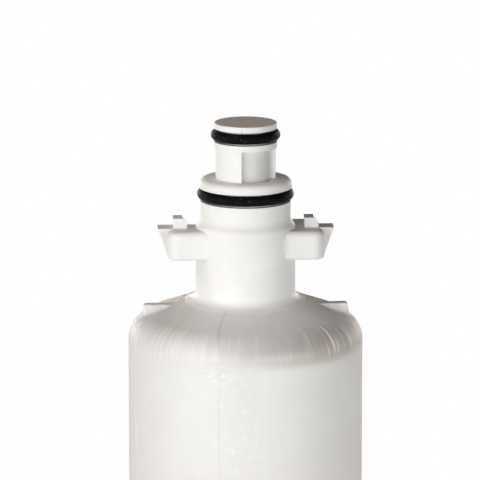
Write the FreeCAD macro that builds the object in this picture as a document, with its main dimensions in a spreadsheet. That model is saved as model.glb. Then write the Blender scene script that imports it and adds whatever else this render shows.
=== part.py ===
import FreeCAD, Part
import os
import re
import Sketcher

# Driving sizes in millimetres and degrees, one sheet cell each
SIZES = {
    # Whole cartridge
    "overall_length": 232.0,
    "housing_dia": 61.0,
    # Tip, seal glands and keyed post
    "cap_dia": 16.4,
    "cap_thickness": 1.5,
    "cap_edge": 0.3,
    "ring_section": 2.65,
    "ring_stand": 0.85,
    "ring_seat": 0.02,
    "gland_width": 3.5,
    "lip_thickness": 1.5,
    "post_length": 8.2,
    "pad_inset": 0.4,
    "pad_depth": 1.4,
    "pad_start": -100.2,
    "pad_sweep": 90.0,
    # Flange, neck and collar
    "flange_overhang": 0.35,
    "flange_thickness": 2.4,
    "flange_edge": 1.5,
    "neck_dia": 23.5,
    "neck_length": 4.2,
    "collar_step": 1.25,
    "step_height": 3.0,
    "collar_length": 21.2,
    # Sloping shoulder and its ribs
    "root_fillet": 2.5,
    "shoulder_angle": 20.5,
    "shoulder_radius": 7.3,
    "rib_setback": 5.9,
    "rib_inset": 3.7,
    "rib_thickness": 2.6,
    "rib_corner": 0.8,
    # Bayonet lugs and their nubs
    "lug_drop": 2.8,
    "lug_height": 7.4,
    "lug_overhang": 7.3,
    "lug_front": 8.3,
    "lug_back": 2.8,
    "lug_corner": 3.0,
    "lug_edge": 1.7,
    "lug_foot_edge": 0.7,
    "lug_root": 3.0,
    "wing_overhang": 2.6,
    "wing_front": 2.6,
    "stop_depth": 8.8,
    "stop_overhang": 2.5,
    "stop_cheek": 3.3,
    "nub_setback": 2.3,
    "nub_width": 3.6,
    "nub_height": 2.6,
    "nub_length": 4.8,
    "nub_bevel": 1.2,
    "nub_bevel_drop": 1.6,
    # Waterways in the head
    "core_wall": 3.0,
    "annulus_gap": 2.0,
    "annulus_roof": 2.0,
    "bore_roof": 1.5,
    "channel_gap": 0.2,
    "channel_margin": 14.0,
    "port_margin": 24.0,
    "port_rise": 2.0,
    "port_height": 4.0,
    # Walls and weld joint
    "head_wall": 2.6,
    "sump_wall": 2.6,
    "weld_fit": 0.1,
    "skirt_wall": 1.8,
    "skirt_length": 6.0,
    # Base of the sump
    "base_corner": 5.0,
    "base_rise": 3.0,
    "recess_dia": 30.0,
    "recess_run": 1.0,
    # Filter element
    "element_headroom": 10.0,
    "water_gap": 2.4,
    "end_plate": 2.0,
    "rim_wall": 1.2,
    "rim_height": 6.0,
    "element_fit": 0.1,
    "wrap_thickness": 1.2,
    "block_bore_dia": 12.0,
    "foot_depth": 2.0,
    "foot_wall": 1.8,
    "foot_fit": 0.3,
    # Outlet stem and its socket
    "socket_wall": 1.6,
    "socket_gap": 2.0,
    "socket_end_gap": 1.0,
    "stem_length": 15.0,
    "stem_fit": 0.15,
    "stem_wall": 1.4,
    "stem_ring_section": 1.78,
    "stem_gland_width": 2.4,
    "stem_gland_inset": 3.0,
    # Shrink film and its pleats
    "film_fit": 0.05,
    "film_thickness": 0.2,
    "film_setback": 3.5,
    "film_hem": 1.0,
    "pleat_count": 48,
    "pleat_width": 2.2,
    "pleat_height": 0.3,
    "pleat_setback": 5.0,
    "pleat_lead": 3.0,
    "pleat_crest_end": 25.0,
    "pleat_toe_end": 5.0,
}

# Places and radii worked out from the sizes, top of the cartridge first
PLACES = {
    "cap_r": "cap_dia / 2",
    "tip_ring_r": "cap_r + ring_stand",
    "tip_floor_r": "tip_ring_r - ring_section - ring_seat",
    "pad_r": "cap_r - pad_inset",
    "core_r": "pad_r - pad_depth",
    "bore_r": "core_r - core_wall",
    "annulus_r": "core_r + annulus_gap",
    "neck_r": "neck_dia / 2",
    "flange_r": "neck_r + flange_overhang",
    "neck_ring_r": "neck_r + ring_stand",
    "neck_floor_r": "neck_ring_r - ring_section - ring_seat",
    "collar_r": "neck_r + collar_step",
    "house_r": "housing_dia / 2",
    "gland_top": "overall_length - cap_thickness",
    "lip_top": "gland_top - gland_width",
    "lip_base": "lip_top - lip_thickness",
    "bore_top": "lip_base - bore_roof",
    "flange_top": "lip_base - post_length",
    "flange_base": "flange_top - flange_thickness",
    "neck_top": "flange_base - gland_width",
    "annulus_top": "neck_top - annulus_roof",
    "step_top": "neck_top - neck_length",
    "step_base": "step_top - step_height",
    "step_middle_r": "(neck_r + collar_r) / 2",
    "step_middle": "(step_top + step_base) / 2",
    "step_radius": "(step_height ^ 2 + collar_step ^ 2) / (4 * collar_step)",
    "root_level": "step_top - collar_length",
    # Shoulder: a cone from the collar, rolled over into the upright wall
    "slope": "tan(shoulder_angle * 1 deg)",
    "tilt_cos": "cos(shoulder_angle * 1 deg)",
    "tilt_sin": "sin(shoulder_angle * 1 deg)",
    "fillet_level": "root_level + root_fillet * (1 / tilt_cos - slope)",
    "fillet_foot_r": "collar_r + root_fillet * (1 - tilt_sin)",
    "fillet_foot": "fillet_level - root_fillet * tilt_cos",
    "bend_r": "house_r - shoulder_radius",
    "seam_level": "root_level - (bend_r - collar_r) * slope - shoulder_radius / tilt_cos",
    "rib_start_r": "collar_r + rib_setback",
    "rib_reach_r": "house_r - rib_inset",
    "rib_top": "root_level - rib_setback * slope",
    "rib_sink": "head_wall / (2 * tilt_cos)",
    # Lugs
    "lug_top": "step_top - lug_drop",
    "lug_base": "lug_top - lug_height",
    "lug_reach": "collar_r + lug_overhang",
    "lug_inner": "(annulus_r + collar_r) / 2",
    "lug_front_foot": "sqrt(lug_inner ^ 2 - lug_front ^ 2)",
    "lug_back_foot": "sqrt(lug_inner ^ 2 - lug_back ^ 2)",
    "root_ring": "collar_r + lug_root",
    "root_x": "sqrt(root_ring ^ 2 - (lug_front + lug_root) ^ 2)",
    "root_share": "collar_r / root_ring",
    "wing_reach": "lug_reach + wing_overhang",
    "wing_foot": "lug_reach - lug_edge",
    "stop_foot": "sqrt(lug_inner ^ 2 - stop_depth ^ 2)",
    "stop_reach": "collar_r + stop_overhang",
    "nub_in": "collar_r + nub_setback",
    "nub_out": "nub_in + nub_width",
    # Inside of the head and the weld joint
    "sump_bore_r": "house_r - sump_wall",
    "skirt_r": "sump_bore_r - weld_fit",
    "skirt_bore_r": "skirt_r - skirt_wall",
    "skirt_base": "seam_level - skirt_length",
    "dome_drop": "head_wall / tilt_cos",
    "dome_top": "root_level + (collar_r - annulus_r) * slope - dome_drop",
    "dome_rim": "root_level - (skirt_bore_r - collar_r) * slope - dome_drop",
    # Filter element
    "recess_r": "recess_dia / 2",
    "plateau_r": "recess_r + sump_wall",
    "plateau": "base_rise + sump_wall",
    "rim_r": "sump_bore_r - water_gap",
    "rim_bore_r": "rim_r - rim_wall",
    "wrap_r": "rim_bore_r - element_fit",
    "wrap_bore_r": "wrap_r - wrap_thickness",
    "block_r": "wrap_bore_r - element_fit",
    "block_bore_r": "block_bore_dia / 2",
    "block_base": "plateau + end_plate",
    "element_top": "seam_level - element_headroom",
    "block_top": "element_top - end_plate",
    "foot_r": "plateau_r + foot_fit",
    # Stem and socket
    "tube_base": "element_top + socket_gap",
    "socket_r": "core_r - socket_wall",
    "socket_top": "element_top + stem_length + socket_end_gap",
    "stem_top": "element_top + stem_length",
    "stem_r": "socket_r - stem_fit",
    "stem_floor_r": "socket_r - stem_ring_section - 2 * ring_seat",
    "stem_bore_r": "stem_floor_r - stem_wall",
    "stem_gland_top": "stem_top - stem_gland_inset",
    "stem_gland_base": "stem_gland_top - stem_gland_width",
    # Film skins, as distances out from the housing
    "skin_in": "film_fit",
    "skin_mid": "film_fit + film_thickness / 2",
    "skin_out": "film_fit + film_thickness",
    "skin_crest": "skin_out + pleat_height",
    "film_top_r": "collar_r + film_setback",
    "film_base": "base_corner + film_hem",
    "pleat_start_r": "collar_r + pleat_setback",
    "tent_start_r": "rib_start_r + (skin_mid / tilt_cos - skin_out) / slope",
}

WORD = re.compile(r"[a-z_]+")

doc = FreeCAD.newDocument("filter_cartridge")
sheet = doc.addObject("Spreadsheet::Sheet", "Sizes")
for row, (alias, number) in enumerate(SIZES.items(), start=1):
    sheet.set(f"A{row}", str(number))
    sheet.setAlias(f"A{row}", alias)
doc.recompute()


def bound(formula):
    """The formula with its names swapped for sheet cells and worked-out places."""
    def swap(match):
        word = match.group(0)
        if word in SIZES:
            return f"Sizes.{word}"
        if word in PLACES:
            return f"({bound(PLACES[word])})"
        return word
    return WORD.sub(swap, formula)


def value(formula):
    return float(sheet.evalExpression(bound(formula)))


# Sketches


def origin_plane(body, role):
    return next(item for item in body.Origin.OriginFeatures if item.Role == role)


def new_sketch(body, name, role, lift=None):
    """A sketch on one of the body's origin planes, lifted off it by a formula."""
    sketch = body.newObject("Sketcher::SketchObject", name)
    sketch.AttachmentSupport = [(origin_plane(body, role), "")]
    sketch.MapMode = "FlatFace"
    if lift:
        sketch.setExpression("AttachmentOffset.Base.z", bound(lift))
    return sketch


def arc_between(start, end, radius, turn):
    """Arc from start to end that turns "left" or "right" along the path, at most half a circle."""
    chord = end - start
    half = chord.Length / 2
    reach = max(radius ** 2 - half ** 2, 0.0) ** 0.5
    side = FreeCAD.Vector(-chord.y, chord.x, 0).normalize()
    centre = (start + end) * 0.5 + side * (reach if turn == "left" else -reach)
    bulge = (start + end) * 0.5 - centre
    if bulge.Length < 1e-9:
        bulge = side * (-1 if turn == "left" else 1)
    middle = centre + bulge.normalize() * radius
    return Part.ArcOfCircle(start, middle, end)


def hold(sketch, kind, edge, point, formula):
    """One bound distance from the origin to a corner of the outline."""
    axis = {"DistanceX": -2, "DistanceY": -1}[kind]
    if formula == "0":
        sketch.addConstraint(Sketcher.Constraint("PointOnObject", edge, point, axis))
        return
    index = sketch.addConstraint(Sketcher.Constraint(kind, -1, 1, edge, point, value(formula)))
    sketch.setExpression(f"Constraints[{index}]", bound(formula))


def outline(sketch, steps):
    """Closed outline: each step is (x, y) for a line to that corner, or (x, y, radius, turn) for an arc to it."""
    corners = [FreeCAD.Vector(value(step[0]), value(step[1]), 0) for step in steps]
    first = sketch.GeometryCount
    ends = []
    for index, step in enumerate(steps):
        start, end = corners[index - 1], corners[index]
        if len(step) == 2:
            sketch.addGeometry(Part.LineSegment(start, end), False)
            ends.append((1, 2))
            continue
        sketch.addGeometry(arc_between(start, end, value(step[2]), step[3]), False)
        edge = sketch.GeometryCount - 1
        forward = (sketch.getPoint(edge, 2) - end).Length < (sketch.getPoint(edge, 1) - end).Length
        ends.append((1, 2) if forward else (2, 1))
    for index, step in enumerate(steps):
        edge = first + index
        follower = (index + 1) % len(steps)
        link = Sketcher.Constraint("Coincident", edge, ends[index][1], first + follower, ends[follower][0])
        sketch.addConstraint(link)
        hold(sketch, "DistanceX", edge, ends[index][1], step[0])
        hold(sketch, "DistanceY", edge, ends[index][1], step[1])
        if len(step) == 4:
            mark = sketch.addConstraint(Sketcher.Constraint("Radius", edge, value(step[2])))
            sketch.setExpression(f"Constraints[{mark}]", bound(step[2]))
    return sketch


def polar(radius, angle):
    """Corner at a radius and a bearing, the bearing counted from the front (-Y) towards +X."""
    return f"({radius}) * sin(({angle}) * 1 deg)", f"-({radius}) * cos(({angle}) * 1 deg)"


def sector(sketch, inner, outer, start, end):
    """Piece of a ring between two radii and two bearings."""
    return outline(sketch, [
        polar(outer, start),
        (*polar(outer, end), outer, "left"),
        polar(inner, end),
        (*polar(inner, start), inner, "right"),
    ])


# Features


def new_body(label):
    body = doc.addObject("PartDesign::Body", label)
    body.Label = label
    return body


def revolve(body, name, steps, angle=None):
    """Turn an outline in the XZ plane about Z, all round or by a bound angle to both sides."""
    sketch = outline(new_sketch(body, f"{name}_outline", "XZ_Plane"), steps)
    turned = body.newObject("PartDesign::Revolution", name)
    turned.Profile = sketch
    turned.ReferenceAxis = (sketch, ["V_Axis"])
    turned.Angle = 360
    if angle:
        turned.Midplane = True
        turned.setExpression("Angle", bound(angle))
    return turned


def extrude(body, kind, name, sketch, length, both_sides=False, backwards=False):
    """Pad or Pocket of a bound length."""
    feature = body.newObject(f"PartDesign::{kind}", name)
    feature.Profile = sketch
    feature.Type = "Length"
    feature.setExpression("Length", bound(length))
    if both_sides:
        feature.SideType = "Symmetric"
    feature.Reversed = backwards
    return feature


def pattern(body, name, originals, count):
    """Copies of features spread evenly round Z."""
    ring = body.newObject("PartDesign::PolarPattern", name)
    ring.Originals = originals
    ring.Axis = (origin_plane(body, "Z_Axis"), [""])
    ring.Angle = 360
    ring.setExpression("Occurrences", bound(count))
    body.Tip = ring
    return ring


def ring_of(label, outer, section, level):
    """Round seal ring with its outside radius and its level bound to the sheet."""
    ring = doc.addObject("Part::Torus", label)
    ring.Label = label
    ring.setExpression("Radius1", bound(f"{outer} - {section} / 2"))
    ring.setExpression("Radius2", bound(f"{section} / 2"))
    ring.setExpression("Placement.Base.z", bound(level))
    return ring


# Shoulder line, shared by head and film


def cone_level(radius, skin="0"):
    """Height of the shoulder's cone at a radius, on a skin that lies off the housing."""
    return f"root_level - ({radius} - collar_r) * slope + ({skin}) / tilt_cos"


def bend_point(skin, angle):
    """Corner on the shoulder's rounded edge, by its angle above level, on a skin off the housing."""
    radius = f"(shoulder_radius + {skin})"
    return f"bend_r + {radius} * cos({angle} * 1 deg)", f"seam_level + {radius} * sin({angle} * 1 deg)"


def cone_end(skin="0"):
    """Corner where the cone runs into the rounded edge."""
    return bend_point(skin, "(90 - shoulder_angle)")


def bend_level(radius, skin):
    """Height of the rounded edge at a radius, on a skin off the housing."""
    return f"seam_level + sqrt((shoulder_radius + {skin}) ^ 2 - ({radius} - bend_r) ^ 2)"


# Head


def head_shell(body):
    """Tip, glands, post core, neck, shoulder, weld skirt and waterways as one turned outline."""
    return revolve(body, "head_shell", [
        ("0", "overall_length"),
        ("cap_r - cap_edge", "overall_length"),
        ("cap_r", "overall_length - cap_edge", "cap_edge", "right"),
        ("cap_r", "gland_top"),
        ("tip_floor_r", "gland_top"),
        ("tip_floor_r", "lip_top"),
        ("cap_r", "lip_top"),
        ("cap_r", "lip_base"),
        ("core_r", "lip_base"),
        ("core_r", "flange_top"),
        ("flange_r - flange_edge", "flange_top"),
        ("flange_r", "flange_top - flange_edge", "flange_edge", "right"),
        ("flange_r", "flange_base"),
        ("neck_floor_r", "flange_base"),
        ("neck_floor_r", "neck_top"),
        ("neck_r", "neck_top"),
        ("neck_r", "step_top"),
        ("step_middle_r", "step_middle", "step_radius", "left"),
        ("collar_r", "step_base", "step_radius", "right"),
        ("collar_r", "fillet_level"),
        ("fillet_foot_r", "fillet_foot", "root_fillet", "left"),
        cone_end(),
        ("house_r", "seam_level", "shoulder_radius", "right"),
        ("skirt_r", "seam_level"),
        ("skirt_r", "skirt_base"),
        ("skirt_bore_r", "skirt_base"),
        ("skirt_bore_r", "dome_rim"),
        ("annulus_r", "dome_top"),
        ("annulus_r", "annulus_top"),
        ("core_r", "annulus_top"),
        ("core_r", "tube_base"),
        ("socket_r", "tube_base"),
        ("socket_r", "socket_top"),
        ("bore_r", "socket_top"),
        ("bore_r", "bore_top"),
        ("0", "bore_top"),
    ])


def post_pad(body):
    """Raised pad over a quarter of the post, which keys it in its seat."""
    sketch = new_sketch(body, "post_pad_outline", "XY_Plane", "flange_top")
    sector(sketch, "core_r - pad_depth", "pad_r", "pad_start", "pad_start + pad_sweep")
    return extrude(body, "Pad", "post_pad", sketch, "post_length")


def on_side(side, steps):
    """The outline as written for +X, or its mirror image on -X."""
    if side == "right":
        return steps
    swapped = {"left": "right", "right": "left"}
    return [(f"-({step[0]})", *step[1:3], *(swapped[turn] for turn in step[3:])) for step in steps]


def is_lug_rim(edge, side, level):
    """True for an edge at that level of the front, the corner or the outer end of the block on that side."""
    near = 1e-4
    middle = edge.valueAt((edge.FirstParameter + edge.LastParameter) / 2)
    heights = [middle.z, *(vertex.Z for vertex in edge.Vertexes)]
    if max(abs(height - value(level)) for height in heights) > near or (middle.x > 0) != (side == "right"):
        return False
    outside = (middle.x ** 2 + middle.y ** 2) ** 0.5 > value("collar_r") + near
    on_end = abs(abs(middle.x) - value("lug_reach")) < near
    in_front = middle.y < value("lug_corner - lug_front") - near
    return outside and (on_end or in_front)


def round_rim(body, side, level, radius):
    """Rounding along one rim of a lug block, on top of what the body holds so far."""
    doc.recompute()
    base = body.Tip
    rims = [f"Edge{number}" for number, edge in enumerate(base.Shape.Edges, start=1)
            if is_lug_rim(edge, side, level)]
    rounding = body.newObject("PartDesign::Fillet", f"{side}_{level}_rounding")
    rounding.Base = (base, rims)
    rounding.setExpression("Radius", bound(radius))


def lug_block(body, side):
    """Block of a bayonet lug, its upper rim rounded softly and its lower rim a little."""
    plan = outline(new_sketch(body, f"{side}_lug_outline", "XY_Plane", "lug_base"), on_side(side, [
        ("lug_front_foot", "-lug_front"),
        ("lug_reach - lug_corner", "-lug_front"),
        ("lug_reach", "lug_corner - lug_front", "lug_corner", "left"),
        ("lug_reach", "lug_back"),
        ("lug_back_foot", "lug_back"),
    ]))
    extrude(body, "Pad", f"{side}_lug", plan, "lug_height")
    round_rim(body, side, "lug_top", "lug_edge")
    round_rim(body, side, "lug_base", "lug_foot_edge")


def lug_root(body, side):
    """Hollow root that runs the block's front into the collar, between its rounded rims."""
    plan = new_sketch(body, f"{side}_lug_root_outline", "XY_Plane", "lug_base + lug_edge")
    outline(plan, on_side(side, [
        ("root_share * root_x", "-root_share * (lug_front + lug_root)"),
        ("root_x", "-lug_front", "lug_root", "right"),
        ("root_x", "0"),
        ("lug_inner", "0"),
    ]))
    extrude(body, "Pad", f"{side}_lug_root", plan, "lug_height - 2 * lug_edge")


def lug_wing(body, side):
    """Wing that reaches out beyond the block, its end undercut."""
    profile = new_sketch(body, f"{side}_wing_outline", "XZ_Plane", "wing_front")
    outline(profile, on_side(side, [
        ("wing_foot", "lug_top"),
        ("wing_foot", "lug_base"),
        ("lug_reach", "lug_base"),
        ("wing_reach", "lug_top"),
    ]))
    extrude(body, "Pad", f"{side}_wing", profile, "wing_front + lug_back", backwards=True)


def turn_stop(body):
    """Deeper back of the lug on +X, which ends the cartridge's turn."""
    plan = outline(new_sketch(body, "turn_stop_outline", "XY_Plane", "lug_base"), [
        ("lug_inner", "0"),
        ("stop_reach + stop_cheek", "0"),
        ("stop_reach + stop_cheek", "lug_back"),
        ("stop_reach", "stop_depth"),
        ("stop_foot", "stop_depth"),
    ])
    extrude(body, "Pad", "turn_stop", plan, "lug_height")


def nubs(body):
    """Upright nub on each lug, its upper edge on the +X side bevelled."""
    for name, near, far in (("right_nub", "nub_in", "nub_out"), ("left_nub", "-nub_out", "-nub_in")):
        sketch = outline(new_sketch(body, f"{name}_outline", "XZ_Plane"), [
            (near, "lug_top - lug_edge"),
            (far, "lug_top - lug_edge"),
            (far, "lug_top + nub_height - nub_bevel_drop"),
            (f"{far} - nub_bevel", "lug_top + nub_height"),
            (near, "lug_top + nub_height"),
        ])
        extrude(body, "Pad", name, sketch, "nub_length", both_sides=True)


def shoulder_rib(body):
    """Upright rib that runs level out of the shoulder's cone and ends short of the wall."""
    sketch = outline(new_sketch(body, "shoulder_rib_outline", "XZ_Plane"), [
        ("rib_start_r", "rib_top"),
        ("rib_start_r", "rib_top - rib_sink"),
        ("rib_reach_r", cone_level("rib_reach_r") + " - rib_sink"),
        ("rib_reach_r", "rib_top - rib_corner"),
        ("rib_reach_r - rib_corner", "rib_top", "rib_corner", "left"),
    ])
    return extrude(body, "Pad", "shoulder_rib", sketch, "rib_thickness", both_sides=True)


def waterways(body):
    """Inlet channel at the foot of one recess of the post, outlet port in the core behind the other."""
    recess_start = "pad_start + pad_sweep"
    recess_end = "pad_start + 180"
    channel = new_sketch(body, "inlet_channel_outline", "XY_Plane", "flange_top")
    sector(channel, "core_r + channel_gap", "pad_r",
           f"{recess_start} + channel_margin", f"{recess_end} - channel_margin")
    extrude(body, "Pocket", "inlet_channel", channel, "flange_top - annulus_top + annulus_roof")
    port = new_sketch(body, "outlet_port_outline", "XY_Plane", "flange_top + port_rise")
    sector(port, "bore_r / 2", "(core_r + pad_r) / 2",
           f"{recess_start} + 180 + port_margin", f"{recess_end} + 180 - port_margin")
    extrude(body, "Pocket", "outlet_port", port, "port_height", backwards=True)


def housing_head():
    body = new_body("housing_head")
    head_shell(body)
    pattern(body, "paired_features", [post_pad(body), shoulder_rib(body)], "2")
    for side in ("right", "left"):
        lug_block(body, side)
        lug_root(body, side)
        lug_wing(body, side)
    turn_stop(body)
    nubs(body)
    waterways(body)
    return body


# Sump


def housing_sump():
    body = new_body("housing_sump")
    revolve(body, "sump_shell", [
        ("0", "base_rise"),
        ("recess_r - recess_run", "base_rise"),
        ("recess_r", "0"),
        ("house_r - base_corner", "0"),
        ("house_r", "base_corner", "base_corner", "left"),
        ("house_r", "seam_level"),
        ("sump_bore_r", "seam_level"),
        ("sump_bore_r", "base_corner"),
        ("house_r - base_corner", "sump_wall", "base_corner - sump_wall", "right"),
        ("plateau_r", "sump_wall"),
        ("plateau_r - recess_run", "plateau"),
        ("0", "plateau"),
    ])
    return body


# Seal rings


def seal_rings():
    return [
        ring_of("tip_o_ring", "tip_ring_r", "ring_section", "gland_top - gland_width / 2"),
        ring_of("neck_o_ring", "neck_ring_r", "ring_section", "flange_base - gland_width / 2"),
        ring_of("stem_o_ring", "socket_r - ring_seat", "stem_ring_section",
                "stem_gland_top - stem_gland_width / 2"),
    ]


# Filter element


def carbon_block():
    body = new_body("carbon_block")
    revolve(body, "block", [
        ("block_bore_r", "block_base"),
        ("block_r", "block_base"),
        ("block_r", "block_top"),
        ("block_bore_r", "block_top"),
    ])
    return body


def sediment_wrap():
    body = new_body("sediment_wrap")
    revolve(body, "wrap", [
        ("wrap_bore_r", "block_base"),
        ("wrap_r", "block_base"),
        ("wrap_r", "block_top"),
        ("wrap_bore_r", "block_top"),
    ])
    return body


def block_bottom_cap():
    """Closed dish that stands on the sump's raised floor, with a ring that centres it there."""
    body = new_body("block_bottom_cap")
    revolve(body, "bottom_dish", [
        ("0", "plateau"),
        ("foot_r", "plateau"),
        ("foot_r", "plateau - foot_depth"),
        ("foot_r + foot_wall", "plateau - foot_depth"),
        ("foot_r + foot_wall", "plateau"),
        ("rim_r", "plateau"),
        ("rim_r", "block_base + rim_height"),
        ("rim_bore_r", "block_base + rim_height"),
        ("rim_bore_r", "block_base"),
        ("0", "block_base"),
    ])
    return body


def block_top_cap():
    """Dish over the block's upper end with the hollow outlet stem and its seal gland."""
    body = new_body("block_top_cap")
    revolve(body, "top_dish", [
        ("stem_bore_r", "block_top"),
        ("rim_bore_r", "block_top"),
        ("rim_bore_r", "block_top - rim_height"),
        ("rim_r", "block_top - rim_height"),
        ("rim_r", "element_top"),
        ("stem_r", "element_top"),
        ("stem_r", "stem_gland_base"),
        ("stem_floor_r", "stem_gland_base"),
        ("stem_floor_r", "stem_gland_top"),
        ("stem_r", "stem_gland_top"),
        ("stem_r", "stem_top"),
        ("stem_bore_r", "stem_top"),
    ])
    return body


# Shrink film


def film_sleeve(body):
    """Thin sleeve from the shoulder's cone to the foot of the wall."""
    return revolve(body, "film_sleeve", [
        ("film_top_r", cone_level("film_top_r", "skin_out")),
        cone_end("skin_out"),
        ("house_r + skin_out", "seam_level", "shoulder_radius + skin_out", "right"),
        ("house_r + skin_out", "film_base"),
        ("house_r + skin_in", "film_base"),
        ("house_r + skin_in", "seam_level"),
        (*cone_end("skin_in"), "shoulder_radius + skin_in", "left"),
        ("film_top_r", cone_level("film_top_r", "skin_in")),
    ])


def pleats(body):
    """Gathers where the film draws in over the shoulder, each a narrow turned ridge."""
    ridge = revolve(body, "pleat", [
        ("pleat_start_r", cone_level("pleat_start_r", "skin_mid")),
        ("pleat_start_r + pleat_lead", cone_level("(pleat_start_r + pleat_lead)", "skin_crest")),
        cone_end("skin_crest"),
        (*bend_point("skin_crest", "pleat_crest_end"), "shoulder_radius + skin_crest", "right"),
        bend_point("skin_mid", "pleat_toe_end"),
        (*cone_end("skin_mid"), "shoulder_radius + skin_mid", "left"),
    ], angle="pleat_width")
    pattern(body, "pleat_ring", [ridge], "pleat_count")


def rib_tents(body):
    """Film drawn over each shoulder rib, hollow where the rib stands."""
    cover = outline(new_sketch(body, "tent_outline", "XZ_Plane"), [
        ("tent_start_r", "rib_top + skin_out"),
        (*cone_end("skin_mid"),),
        ("rib_reach_r + skin_out", bend_level("(rib_reach_r + skin_out)", "skin_mid"),
         "shoulder_radius + skin_mid", "right"),
        ("rib_reach_r + skin_out", "rib_top - rib_corner"),
        ("rib_reach_r - rib_corner", "rib_top + skin_out", "rib_corner + skin_out", "left"),
    ])
    tent = extrude(body, "Pad", "tent", cover, "rib_thickness + 2 * skin_out", both_sides=True)
    room = outline(new_sketch(body, "tent_room_outline", "XZ_Plane"), [
        ("rib_start_r", "rib_top + skin_in"),
        ("rib_start_r", "seam_level"),
        ("rib_reach_r + skin_in", "seam_level"),
        ("rib_reach_r + skin_in", "rib_top - rib_corner"),
        ("rib_reach_r - rib_corner", "rib_top + skin_in", "rib_corner + skin_in", "left"),
    ])
    hollow = extrude(body, "Pocket", "tent_room", room, "rib_thickness + 2 * skin_in", both_sides=True)
    pattern(body, "tent_pair", [tent, hollow], "2")


def shrink_film():
    body = new_body("shrink_film")
    film_sleeve(body)
    pleats(body)
    rib_tents(body)
    return body


# Build, check and write


def check(parts):
    """Stop before anything is written if a feature failed or a solid isn't sound."""
    failed = [item.Name for item in doc.Objects if {"Invalid", "Error"} & set(item.State)]
    if failed:
        raise RuntimeError(f"failed objects: {failed}")
    for part in parts:
        shape = part.Shape
        if shape.isNull() or not shape.isValid() or len(shape.Solids) != 1:
            raise RuntimeError(f"{part.Label} is not one sound solid")


parts = [
    housing_head(),
    housing_sump(),
    *seal_rings(),
    carbon_block(),
    sediment_wrap(),
    block_bottom_cap(),
    block_top_cap(),
    shrink_film(),
]
doc.recompute()
check(parts)
os.makedirs("parts", exist_ok=True)
for part in parts:
    part.Shape.exportStep(f"parts/{part.Label}.step")
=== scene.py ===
import math
import random

import bpy
import numpy as np
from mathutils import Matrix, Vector
from mathutils.bvhtree import BVHTree


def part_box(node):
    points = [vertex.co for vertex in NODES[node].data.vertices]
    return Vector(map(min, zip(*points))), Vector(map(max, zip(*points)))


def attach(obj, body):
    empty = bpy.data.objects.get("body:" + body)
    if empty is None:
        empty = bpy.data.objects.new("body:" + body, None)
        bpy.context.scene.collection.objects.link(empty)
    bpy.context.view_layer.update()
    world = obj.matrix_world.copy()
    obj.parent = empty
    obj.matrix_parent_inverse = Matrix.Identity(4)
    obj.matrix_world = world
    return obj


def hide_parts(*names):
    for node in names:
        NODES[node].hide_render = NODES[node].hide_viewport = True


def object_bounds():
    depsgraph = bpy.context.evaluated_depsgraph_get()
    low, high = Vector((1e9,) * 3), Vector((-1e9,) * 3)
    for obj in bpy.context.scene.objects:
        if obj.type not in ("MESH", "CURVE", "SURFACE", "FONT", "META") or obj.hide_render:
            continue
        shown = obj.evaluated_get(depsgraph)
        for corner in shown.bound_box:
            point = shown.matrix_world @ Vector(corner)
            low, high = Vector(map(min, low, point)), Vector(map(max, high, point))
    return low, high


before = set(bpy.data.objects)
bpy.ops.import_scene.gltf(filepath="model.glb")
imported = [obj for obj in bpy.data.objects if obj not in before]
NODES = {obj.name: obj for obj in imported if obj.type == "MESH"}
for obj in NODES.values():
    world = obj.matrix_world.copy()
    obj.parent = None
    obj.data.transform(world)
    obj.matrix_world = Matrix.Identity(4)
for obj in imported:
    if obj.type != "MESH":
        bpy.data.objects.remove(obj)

# Water filter cartridge in metres, in the frame's own axes: +Z up, the front faces -Y
MM = 0.001
CAD_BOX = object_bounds()
WHITE = (1, 1, 1, 1)

# A noise is given as scale, detail and roughness, and fine relief as distance and strength
# Levels are the start and end of a ramp, and the middle ones suit most noises
MIDDLE = (0.3, 0.7)

# Film section, as on the housing under it
SHOULDER_TILT = math.radians(20.5)
SHOULDER_RADIUS = 7.3 * MM
FILM_LIFT = 0.10 * MM
FILM_COLUMNS = 720
CONE_ROWS = 26
BEND_ROWS = 26
UPPER_WALL_ROWS = 24
LOWER_WALL_ROWS = 48
UPPER_WALL_RUN = 14 * MM

# Wavy upper edge of the film: height, two counts of waves in a turn, a phase and the second row's share
HEM_WAVE = 0.10 * MM
HEM_COUNTS = (5, 13)
HEM_PHASE = 1.1
HEM_SECOND_ROW = 0.4

# Tents of the film beside the two shoulder ribs, and the smoothing over them
RIB_BEARINGS = (math.radians(-90), math.radians(90))
PROBE_REACH = 8 * MM
TENT_COLUMNS = 4
TENT_REACH = 7 / 360
SMOOTH_PASSES = 3
SMOOTH_AROUND = 0.6
SMOOTH_DOWN = 0.4

# Gathers of the film on the shoulder, their slant in degrees and their cut in millimetres
FILM_SEED = 7
GATHER_COUNT = 90
GATHER_JITTER = 0.42
GATHER_HEIGHT = (0.02 * MM, 0.16 * MM)
GATHER_HEIGHT_POWER = 1.8
GATHER_FRONT_SHARE = 0.35
GATHER_WIDTH = (math.radians(1.6), math.radians(2.8))
GATHER_SLANT = 0.8
GATHER_BEGIN = (0.25, 0.85)
GATHER_TAIL = 4 * MM
GATHER_TAIL_POWER = 2.5
GATHER_CUT = 2.5
GATHER_RISE = 3.0 * MM
GATHER_FALL = 3.5 * MM
GATHER_LEAN = (0.8, 1.2)

# Fine strands drawn between the gathers
STRANDS = (820.0, 1.0)
STRAND_ENDS = (1066.0, 1.0)
STRAND_STRETCH = 0.05
STRAND_LEVELS = (0.50, 0.66)
STRAND_SHIFT = 9 * MM
STRAND_HEIGHT = (0.22 * MM, 0.8)

# Bearings where the film is drawn tightest, and how tight
TIGHT_BASE = 0.07
TIGHT_SPOTS = ((49, 0.95), (-58, 0.08), (-135, 0.6), (148, 0.5))
TIGHT_REACH = 24 / 360

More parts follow.
